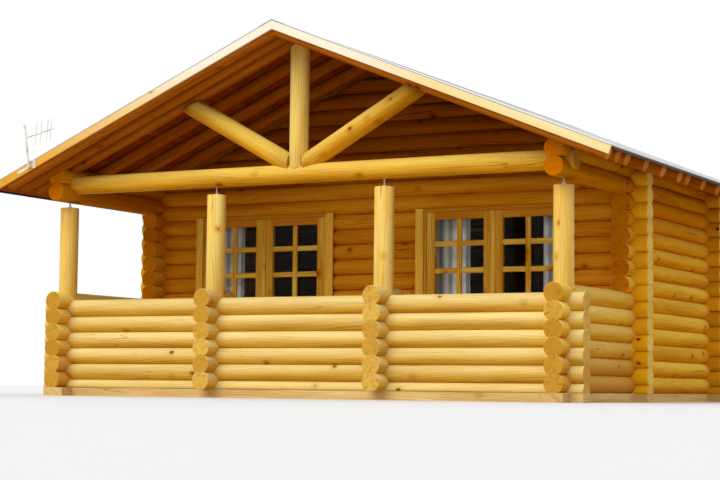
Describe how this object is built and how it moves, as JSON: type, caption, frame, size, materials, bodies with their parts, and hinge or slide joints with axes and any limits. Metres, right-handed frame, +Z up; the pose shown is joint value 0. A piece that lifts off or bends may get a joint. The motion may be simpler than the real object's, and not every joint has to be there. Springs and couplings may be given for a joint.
{
  "type": "log cabin",
  "caption": "Round-log cabin with crossed corners, a railed veranda under an open gable truss, paned windows and a low-pitched felt roof.",
  "frame": {"origin": "on the ground, at the middle of the object's plan", "axes": "+X to the right seen from the veranda, +Y from the veranda to the back wall, +Z up"},
  "size_m": [7.22, 8.115, 3.8008],
  "materials": {
    "log_wood": "oiled, honey-coloured round timber",
    "sill_wood": "rough, weathered",
    "floor_boards": "planed boards, oiled",
    "roof_boards": "planed boards, stained red-brown",
    "joinery_wood": "planed and varnished",
    "barge_wood": "planed and varnished, pale",
    "roofing_felt": "mineral felt, matt",
    "white_metal": "satin paint",
    "zinc_steel": "zinc plated",
    "aerial_metal": "dull",
    "window_glass": "clear",
    "curtain_net": "net, light grey-white"
  },
  "bodies": {
    "root": {"foundation_sills": "sill_wood", "floor_joists": "sill_wood", "porch_deck": "floor_boards", "room_floors": "floor_boards", "porch_front_rail": "log_wood", "porch_rail_stubs": "log_wood", "porch_side_rails": "log_wood", "left_wall": "log_wood", "right_wall": "log_wood", "front_wall": "log_wood", "cross_wall": "log_wood", "back_wall": "log_wood", "front_gable": "log_wood", "back_gable": "log_wood", "eaves_plates": "log_wood", "tie_beam": "log_wood", "porch_posts": "log_wood", "post_screws": "zinc_steel", "king_post": "log_wood", "braces": "log_wood", "left_rafters": "roof_boards", "right_rafters": "roof_boards", "eaves_blocking": "roof_boards", "left_roof_boards": "roof_boards", "right_roof_boards": "roof_boards", "left_roof_covering": "roofing_felt", "right_roof_covering": "roofing_felt", "roof_edge_strips": "white_metal", "ridge_cap": "roofing_felt", "bargeboards": "barge_wood", "window_frames": "joinery_wood", "cover_boards": "joinery_wood", "window_sashes": "joinery_wood", "window_glass": "window_glass", "curtain_rods": "zinc_steel", "inner_door_lining": "joinery_wood", "back_door_frame": "joinery_wood", "back_door": "joinery_wood", "back_door_handle": "zinc_steel", "aerial": "aerial_metal", "curtain_1": "curtain_net", "curtain_2": "curtain_net", "curtain_3": "curtain_net", "curtain_4": "curtain_net"}
  },
  "joints": []
}
